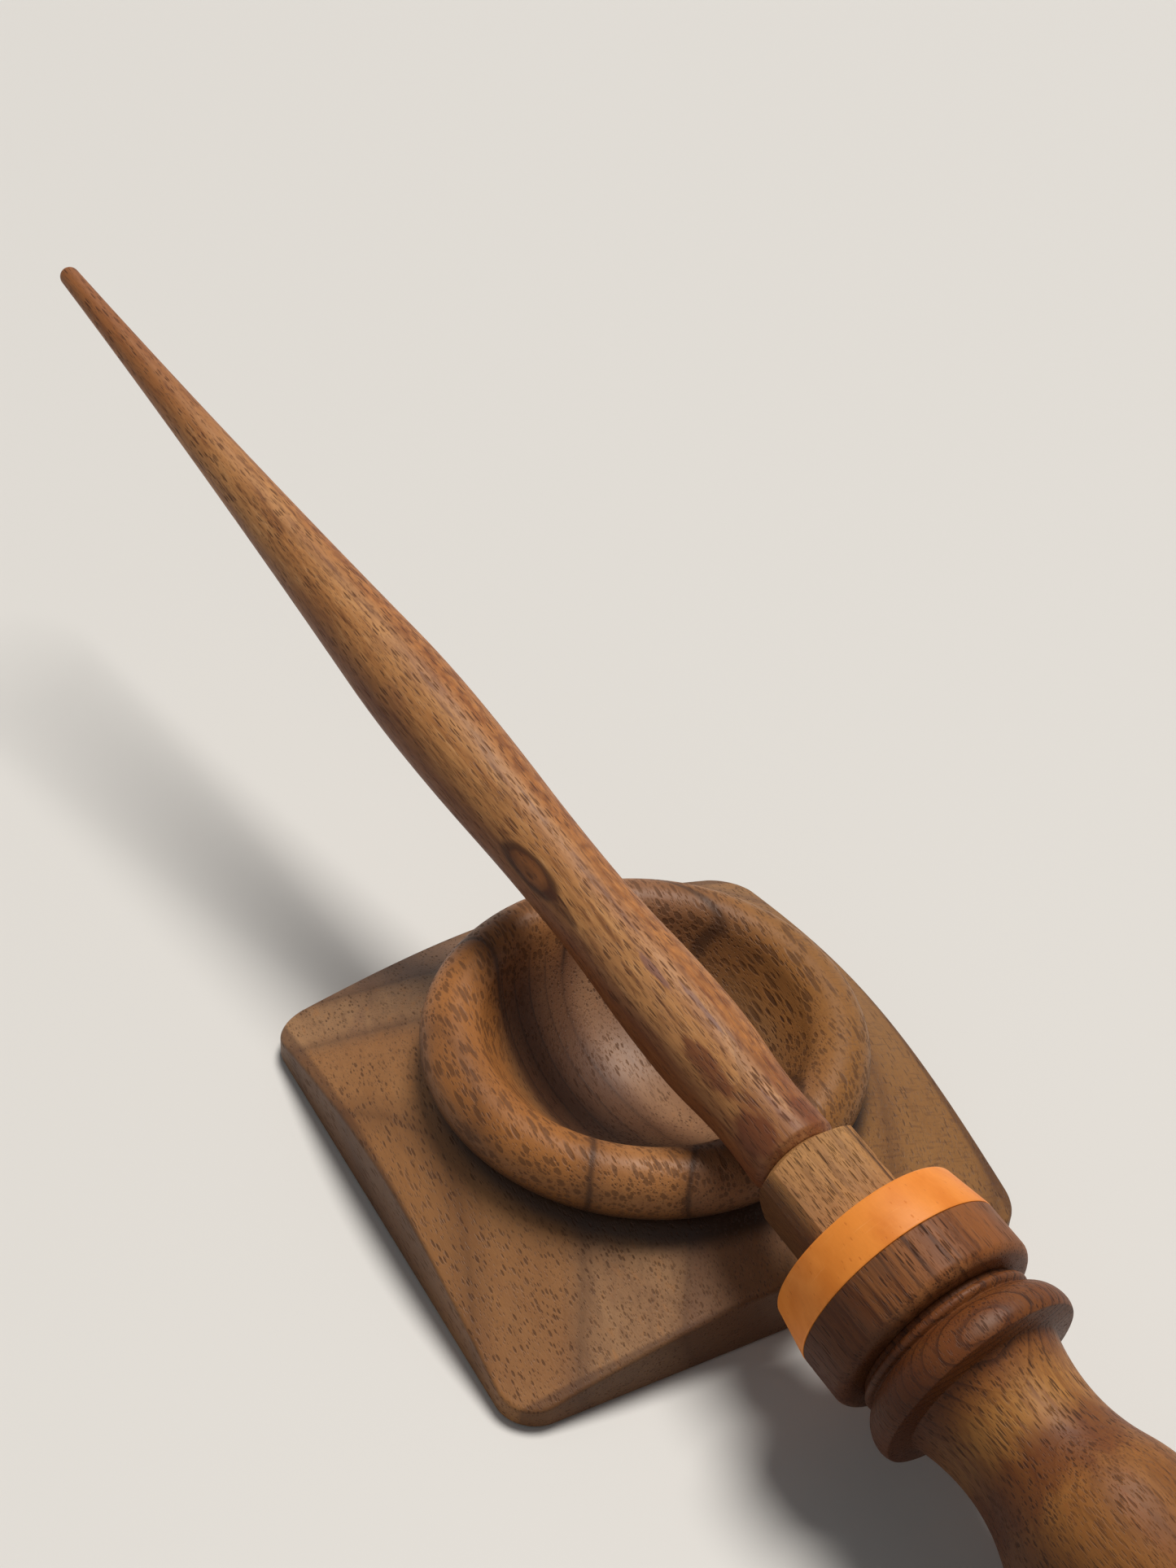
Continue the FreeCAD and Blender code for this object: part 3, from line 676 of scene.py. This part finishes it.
collarWood = {
    "seed": 15.0, "light": tone(172, 124, 74), "mid": tone(152, 105, 60), "dark": tone(90, 55, 31),
    "warm": tone(168, 113, 60), "veil": tone(142, 101, 66), "line": tone(44, 25, 15),
    "pore": tone(52, 31, 19),
    "layerNormal": (0.96, -0.26, 0.02), "layerStep": 2.1, "layerWaver": 2.0, "layerRipple": 0.5,
    "lineStart": 0.7, "lineDark": 0.75, "lateDark": 0.4,
    "streakAcross": 0.8, "streakAlong": 12, "streakDark": 0.5, "streakWarm": 0.2,
    "veilStrength": 0.4, "broadAcross": 5, "broadAlong": 20, "fibre": 0.45,
    "poreAcross": 0.3, "poreAlong": 2.6, "poreSize": 0.36, "poreDark": 0.72,
    "side": (0.95, -0.3, 0), "sideEdges": (4.6, 6.4), "frontLate": 0.2, "frontLine": 0.25,
    # painted shade on the far side
    "back": (-0.95, 0.3, 0), "paintedShadeTone": tone(70, 38, 20), "shadeSideEdges": (5.2, 6.6), "shadeSideStrength": 0.8,
    "roughness": 0.55, "gloss": 0.16, "relief": 0.8, "reliefDepth": 0.16,
}


def makeCollar(size):
    slope = size["shoulder"] / (size["side"] / math.sqrt(2) - size["neck"])
    top = size["length"] - slope * (size["waste"] - size["neck"])
    outline = [(size["bore"], 0), (size["waste"], 0), (size["waste"], top), (size["neck"], size["length"]),
               (size["bore"], size["length"]), (size["bore"], 0)]
    place = wandPlace @ Matrix.Translation((0, 0, size["start"] * mm))
    piece = turnPiece("FacetedCollar", outline, place, size["sides"])
    bpy.ops.object.mode_set(mode="EDIT")
    flat = size["side"] / 2
    cutCorner = (size["side"] - size["chamfer"]) / math.sqrt(2)
    for step in range(8):
        angle = math.radians(size["roll"] + 45 * step)
        side = Vector((math.cos(angle), math.sin(angle), 0))
        distance = flat if step % 2 == 0 else cutCorner
        bpy.ops.mesh.select_all(action="SELECT")
        bpy.ops.mesh.bisect(
            plane_co=place @ (side * distance * mm), plane_no=place.to_3x3() @ side, use_fill=True,
            clear_outer=True, threshold=cutReach)
    closeMesh()
    bpy.ops.object.mode_set(mode="OBJECT")
    soft = piece.modifiers.new("SoftEdges", "BEVEL")
    soft.width = size["soft"] * mm
    soft.segments = size["softSegments"]
    soft.limit_method = "ANGLE"
    soft.angle_limit = math.radians(size["softAngle"])
    bpy.ops.object.modifier_apply(modifier=soft.name)
    return piece


def collarWalnut(name, look):
    # open-grained wide face, lengthwise lines on one side, and painted shade on the far side
    material, shader, grain = startMaterial(name, wandPlace, wandTurn)
    side = grain.towards(look["side"]).rise(*look["sideEdges"])
    line, late = growthLayers(layerDepth(grain, look), look["layerStep"], look["lineStart"])
    colour, streak = groundTone(grain, look)
    late = late * look["lateDark"] * (side * (1 - look["frontLate"]) + look["frontLate"])
    colour = colour.mixed(late, look["dark"])
    dark = line * look["lineDark"] * (side * (1 - look["frontLine"]) + look["frontLine"])
    colour = colour.mixed(dark, look["line"])
    # painted shade: the far side is darkened
    back = grain.towards(look["back"]).rise(*look["shadeSideEdges"])
    colour = colour.mixed(back * look["shadeSideStrength"], look["paintedShadeTone"])
    poredWood(shader, grain, colour, streak, line, look)
    return material


finishPiece(makeCollar(collar), "wand", "faceted_collar",
            collarWalnut("CollarWalnut", collarWood), collar["sharp"])


band = {
    "width": 7.0, "radius": 15.0, "tipRadius": 13.8, "bore": 4.55, "edge": 0.35, "sides": 160,
    "sharp": 35,
}

bandWood = {
    "seed": 21.0, "light": tone(228, 138, 56), "mid": tone(216, 124, 44), "midEdges": (0.35, 0.7),
    "dark": tone(188, 98, 32), "darkEdges": (0.62, 0.85), "darkStrength": 0.5, "speckStrength": 0.45,
    "pale": tone(240, 172, 104), "paleEdges": (0.64, 0.74), "paleStrength": 0.25,
    "mottleGrain": (5, 9), "mottleNoise": (3.0, 0.55, 0.6), "fibreGrain": (0.3, 2.4), "fibre": 0.12,
    "speck": (0.7, 2.2, 0.16), "scratchGrain": (6, 0.16),
    "leastRoughness": 0.36, "mottleRough": 0.12, "speckRough": 0.1, "scratchRough": 0.08, "gloss": 0.18,
    "fibreRelief": 0.4, "scratchRelief": 0.5, "speckRelief": 0.6, "relief": 0.35, "reliefDepth": 0.06,
}


def makeBand(size):
    outline = [(size["bore"], 0), (size["radius"], 0), (size["radius"], size["edge"]),
               (size["tipRadius"], size["width"]), (size["bore"], size["width"]), (size["bore"], 0)]
    return turnPiece("OrangeBand", softened(outline, size["edge"]), wandPlace, size["sides"])


def orangeWood(name, look):
    # close-grained bright wood: soft mottling, faint fibres and a few pale scratches round the ring
    material, shader, grain = startMaterial(name, wandPlace, wandTurn)
    seed = look["seed"]
    mottle = grain.stretched(*look["mottleGrain"], seed).noise(*look["mottleNoise"])
    fibre = grain.stretched(*look["fibreGrain"], seed + 5).noise(*timber["fibreNoise"])
    specks = poreDashes(grain, *look["speck"], seed + 9)
    scratches = grain.stretched(*look["scratchGrain"], seed + 13).noise(*timber["fibreNoise"])
    light = mottle.node("RGB", {}, {})
    light.socket.default_value = look["light"]
    colour = light.mixed(mottle.rise(*look["midEdges"]), look["mid"])
    colour = colour.mixed(mottle.rise(*look["darkEdges"]) * look["darkStrength"], look["dark"])
    colour = colour.lit(fibre * look["fibre"] + (1 - look["fibre"] / 2))
    colour = colour.mixed(scratches.rise(*look["paleEdges"]) * look["paleStrength"], look["pale"])
    colour = colour.mixed(specks * look["speckStrength"], look["dark"])
    roughness = mottle * look["mottleRough"] + specks * look["speckRough"]
    roughness = roughness + scratches * look["scratchRough"] + look["leastRoughness"]
    height = fibre * look["fibreRelief"] + scratches * look["scratchRelief"] - specks * look["speckRelief"]
    finishMaterial(shader, colour, roughness, height, look)
    return material


finishPiece(makeBand(band), "wand", "orange_band",
            orangeWood("OrangeWood", bandWood), band["sharp"])


drum = {
    "start": -7.8, "length": 7.8, "radius": 15.0, "foot": 13.3, "footLength": 1.7, "footSteps": 8,
    "bore": 4.55, "soft": 0.2, "sides": 160, "sharp": 35,
}

drumWood = {
    "seed": 27.0, "light": tone(142, 90, 51), "mid": tone(116, 68, 36), "dark": tone(58, 31, 16),
    "warm": tone(152, 98, 56), "veil": tone(106, 78, 60), "line": tone(38, 22, 14),
    "pore": tone(38, 22, 14),
    "layerNormal": (0.85, -0.52, 0.02), "layerStep": 2.4, "layerWaver": 3.0, "layerRipple": 0.9,
    "lineStart": 0.72, "lineDark": 0.4, "lateDark": 0.3,
    "streakAcross": 0.7, "streakAlong": 24, "streakDark": 0.9, "streakWarm": 0.5,
    "veilStrength": 0.5, "broadAcross": 4, "broadAlong": 30, "fibre": 0.42,
    "poreAcross": 0.4, "poreAlong": 3.4, "poreSize": 0.34, "poreDark": 0.68,
    "flank": (0.9, -0.44, 0), "flankTone": tone(132, 76, 36), "flankEdges": (4, 12), "flankStrength": 0.6,
    # painted shade on the far side
    "back": (-0.9, 0.44, 0), "paintedShadeTone": tone(58, 27, 14), "shadeSideEdges": (1, 10), "shadeSideStrength": 0.8,
    "roughness": 0.48, "gloss": 0.13, "relief": 0.6, "reliefDepth": 0.12,
}


def makeDrum(size):
    outline = [(size["bore"], 0), (size["foot"], 0)]
    bulgeTo(outline, size["radius"], size["footLength"], "end", size["footSteps"])
    outline += [(size["radius"], size["length"]), (size["bore"], size["length"]), (size["bore"], 0)]
    place = wandPlace @ Matrix.Translation((0, 0, size["start"] * mm))
    return turnPiece("DrumCollar", softened(outline, size["soft"]), place, size["sides"])


def drumWalnut(name, look):
    # dark wood with lengthwise stripes, warmer on one flank, and painted shade in dark red-brown on the
    # other
    material, shader, grain = startMaterial(name, wandPlace, wandTurn)
    line, late = growthLayers(layerDepth(grain, look), look["layerStep"], look["lineStart"])
    colour, streak = groundTone(grain, look)
    colour = colour.mixed(late * look["lateDark"], look["dark"])
    colour = colour.mixed(line * look["lineDark"], look["line"])
    flank = grain.towards(look["flank"]).rise(*look["flankEdges"])
    colour = colour.mixed(flank * look["flankStrength"], look["flankTone"])
    # painted shade: the far side is darkened
    back = grain.towards(look["back"]).rise(*look["shadeSideEdges"])
    colour = colour.mixed(back * look["shadeSideStrength"], look["paintedShadeTone"])
    poredWood(shader, grain, colour, streak, line, look)
    return material


finishPiece(makeDrum(drum), "wand", "drum_collar",
            drumWalnut("DrumWalnut", drumWood), drum["sharp"])


handle = {
    "start": -7.8, "bore": 4.55, "socket": -26.0, "quirk": (11.6, -1.0), "fillet": (12.3, -2.2, 12.57),
    "step": (12.0, -2.5), "bead": (14.8, -6.9), "beadEdge": (14.4, -8.3), "cove": (11.2, -8.8),
    "neck": (9.8, -17.2), "curves": [(13.1, -34.2), (8.9, -61.2), (9.9, -76.2)], "soft": 0.25,
    "sides": 160,
    "filletSteps": 5, "beadSteps": 14, "beadEdgeSteps": 6, "neckSteps": 10, "curveSteps": 9,
    "pommelSteps": 16, "sharp": 35,
}

handleWood = {
    "seed": 33.0, "light": tone(146, 96, 48), "mid": tone(124, 75, 35), "dark": tone(66, 34, 17),
    "warm": tone(142, 82, 42), "veil": tone(104, 66, 48), "line": tone(40, 20, 13),
    "pore": tone(44, 25, 16),
    "layerNormal": (-0.19, -0.98, 0.03), "layerStep": 1.15, "layerWaver": 2.0, "layerRipple": 0.5,
    "lineStart": 0.68, "lineDark": 0.7, "lateDark": 0.5, "swellLine": 0.15, "swellLate": 0.25,
    "streakAcross": 1.1, "streakAlong": 16, "streakDark": 0.4, "streakWarm": 0.4,
    "veilStrength": 0.4, "broadAcross": 7, "broadAlong": 34, "fibre": 0.34,
    "poreAcross": 0.4, "poreAlong": 2.8, "poreSize": 0.4, "poreDark": 0.72,
    "bead": tone(92, 45, 21), "beadEdges": (-21, -16.5), "beadStrength": 0.7,
    "lens": tone(122, 90, 70), "lensEdges": (13.7, 14.4), "lensStrength": 0.75,
    # painted highlight: a pale streaky band round the neck
    "paintedNeckHighlight": tone(172, 120, 62), "highlightFrom": (-27.5, -24.5), "highlightTo": (-19.5, -22.5),
    "highlightStrength": 0.6,
    "threadGrain": (0.5, 5), "threadEdges": (0.38, 0.58),
    "swellFrom": (-36, -32), "swellTo": (-26, -29), "swellStrength": 0.6, "raggedGrain": (2.5, 6),
    "ragged": 9.0,
    # painted shade on the far side
    "back": (-0.95, 0.3, 0), "paintedShadeTone": tone(58, 28, 14), "shadeSideEdges": (2, 11), "shadeSideStrength": 0.7,
    "roughness": 0.46, "gloss": 0.15, "relief": 0.5, "reliefDepth": 0.12,
}


def makeHandle(size):
    quirkRadius, quirkStation = size["quirk"]
    filletRadius, filletStation, filletCrest = size["fillet"]
    outline = [(0, size["socket"]), (size["bore"], size["socket"]), (size["bore"], 0), (quirkRadius, 0),
               (quirkRadius, quirkStation), (filletRadius, quirkStation)]
    bulgeTo(outline, filletCrest, (quirkStation + filletStation) / 2, "end", size["filletSteps"])
    bulgeTo(outline, filletRadius, filletStation, "start", size["filletSteps"])
    outline.append(size["step"])
    bulgeTo(outline, *size["bead"], "end", size["beadSteps"])
    bulgeTo(outline, *size["beadEdge"], "start", size["beadEdgeSteps"])
    outline.append(size["cove"])
    bulgeTo(outline, *size["neck"], "end", size["neckSteps"])
    for radius, station in size["curves"]:
        ogeeTo(outline, radius, station, size["curveSteps"])
    pommelRadius, pommelStation = size["curves"][-1]
    capTo(outline, pommelStation - pommelRadius, size["pommelSteps"])
    place = wandPlace @ Matrix.Translation((0, 0, size["start"] * mm))
    return turnPiece("Handle", softened(outline, size["soft"]), place, size["sides"])


def handleWalnut(name, look):
    # growth layers show as ovals round a pale patch on the bead and fade towards the swell
    material, shader, grain = startMaterial(name, wandPlace, wandTurn)
    seed = look["seed"]
    station = grain.towards((0, 0, 1))
    depth = layerDepth(grain, look)
    line, late = growthLayers(depth, look["layerStep"], look["lineStart"])
    bead = station.rise(*look["beadEdges"])
    colour, streak = groundTone(grain, look)
    colour = colour.mixed(bead * look["beadStrength"], look["bead"])
    late = late * look["lateDark"] * (bead * (1 - look["swellLate"]) + look["swellLate"])
    colour = colour.mixed(late, look["dark"])
    dark = line * look["lineDark"] * (bead * (1 - look["swellLine"]) + look["swellLine"])
    colour = colour.mixed(dark, look["line"])
    colour = colour.mixed(depth.rise(*look["lensEdges"]) * bead * look["lensStrength"], look["lens"])
    # painted highlight: pale streaks in a band round the neck where the lamp's highlight falls
    threads = grain.stretched(*look["threadGrain"], seed + 53).noise().rise(*look["threadEdges"])
    paintedNeckHighlight = station.rise(*look["highlightFrom"]) * station.rise(*look["highlightTo"]) * threads
    colour = colour.mixed(paintedNeckHighlight * look["highlightStrength"], look["paintedNeckHighlight"])
    ragged = station + (grain.stretched(*look["raggedGrain"], seed + 59).noise(3.0) - 0.5) * look["ragged"]
    swell = ragged.rise(*look["swellFrom"]) * ragged.rise(*look["swellTo"])
    colour = colour.mixed(swell * look["swellStrength"], look["bead"])
    # painted shade: the far side is darkened
    back = grain.towards(look["back"]).rise(*look["shadeSideEdges"])
    colour = colour.mixed(back * look["shadeSideStrength"], look["paintedShadeTone"])
    poredWood(shader, grain, colour, streak, line, look)
    return material


finishPiece(makeHandle(handle), "wand", "handle",
            handleWalnut("HandleWalnut", handleWood), handle["sharp"])
print("pieces done")

studio = {
    "floorSide": 60.0, "floorDrop": 0.05, "floorTone": tone(206, 204, 200), "floorRoughness": 0.6,
    "worldTone": tone(238, 240, 244), "worldLevel": 0.13, "backdropLevel": 0.72,
    "keyFrom": (0.24, 0.17, 0.76), "keySpread": 24, "keyStrength": 3.35, "keyTone": (1.0, 0.965, 0.92),
    "fillFrom": (-0.55, -0.35, 0.5), "fillSpread": 60, "fillStrength": 0.2, "fillTone": (1, 1, 1),
}


def softLamp(name, comesFrom, spread, strength, colour):
    # far, wide lamp: even over the whole floor, with a soft shadow
    bpy.ops.object.light_add(type="SUN", location=comesFrom)
    lamp = bpy.context.object
    lamp.name = name
    lamp.data.angle = math.radians(spread)
    lamp.data.energy = strength
    lamp.data.color = colour
    lamp.rotation_euler = Vector(comesFrom).to_track_quat("Z", "Y").to_euler()


bpy.ops.object.select_all(action="DESELECT")
floorHeight = cadBox[0].z - studio["floorDrop"] * mm
bpy.ops.mesh.primitive_plane_add(size=studio["floorSide"], location=(0, 0, floorHeight))
floor = bpy.context.object
floor.name = "Floor"
bpy.ops.object.transform_apply(location=True, rotation=True, scale=True)
floorMaterial = bpy.data.materials.new("PaleFloor")
floorMaterial.use_nodes = True
floorShader = next(n for n in floorMaterial.node_tree.nodes if n.type == "BSDF_PRINCIPLED")
floorShader.inputs["Base Color"].default_value = studio["floorTone"]
floorShader.inputs["Roughness"].default_value = studio["floorRoughness"]
floor.data.materials.append(floorMaterial)

softLamp("KeyLamp", studio["keyFrom"], studio["keySpread"], studio["keyStrength"], studio["keyTone"])
softLamp("FillLamp", studio["fillFrom"], studio["fillSpread"], studio["fillStrength"], studio["fillTone"])

# the world lights weakly, but looks pale behind the floor and in reflections
world = bpy.data.worlds.new("Studio")
bpy.context.scene.world = world
world.use_nodes = True
background = next(n for n in world.node_tree.nodes if n.type == "BACKGROUND")
background.inputs["Color"].default_value = studio["worldTone"]
seen = Flow(world.node_tree).node("LightPath", {}, {})
for ray in ("Is Glossy Ray", "Is Transmission Ray"):
    otherRay = Flow(world.node_tree, world.node_tree.nodes["Light Path"].outputs[ray])
    seen = seen.maths("MAXIMUM", seen, otherRay)
level = seen * (studio["backdropLevel"] - studio["worldLevel"]) + studio["worldLevel"]
world.node_tree.links.new(level.socket, background.inputs["Strength"])

camera = {
    "place": (-0.14450, -0.22058, 0.27945), "yaw": -30.94, "pitch": 50.74, "roll": 4.145,
    "lens": 60.79, "sensor": 36, "nearest": 0.01,
}
bpy.ops.object.camera_add(location=camera["place"])
viewer = bpy.context.object
viewer.name = "Viewer"
aim = Matrix.Rotation(math.radians(camera["yaw"]), 4, "Z")
aim = aim @ Matrix.Rotation(math.radians(camera["pitch"]), 4, "X")
aim = aim @ Matrix.Rotation(math.radians(camera["roll"]), 4, "Z")
viewer.matrix_world = Matrix.Translation(camera["place"]) @ aim
viewer.data.lens = camera["lens"]
viewer.data.sensor_width = camera["sensor"]
viewer.data.clip_start = camera["nearest"]
bpy.context.scene.camera = viewer
bpy.context.scene.view_settings.view_transform = "Standard"
print("studio done")
